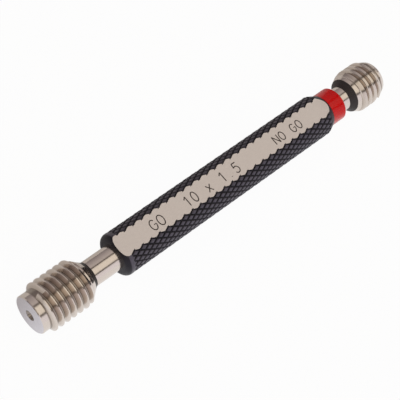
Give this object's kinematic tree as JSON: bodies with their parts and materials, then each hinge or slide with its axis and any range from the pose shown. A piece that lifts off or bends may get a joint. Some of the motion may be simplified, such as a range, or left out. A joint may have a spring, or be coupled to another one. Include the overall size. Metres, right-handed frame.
{
  "type": "thread plug gauge",
  "caption": "Double-ended GO and NO-GO plug gauge for a metric internal thread, with a knurled handle, a ground marking flat and a red NO-GO band.",
  "frame": {"origin": "centre of the GO end face, on the gauge's axis", "axes": "+X along the axis from the GO end to the NO-GO end; +Z is the outward normal of the marking flat"},
  "size_m": [0.0939, 0.01, 0.01],
  "materials": {
    "handle_black": "blackened and knurled steel, with a ground marking flat and a red lacquered band at the NO-GO end",
    "gauge_steel": "hardened gauge steel, ground thread and neck, blackened throat cone"
  },
  "bodies": {
    "root": {"handle": "handle_black", "go_member": "gauge_steel", "nogo_member": "gauge_steel"}
  },
  "joints": []
}
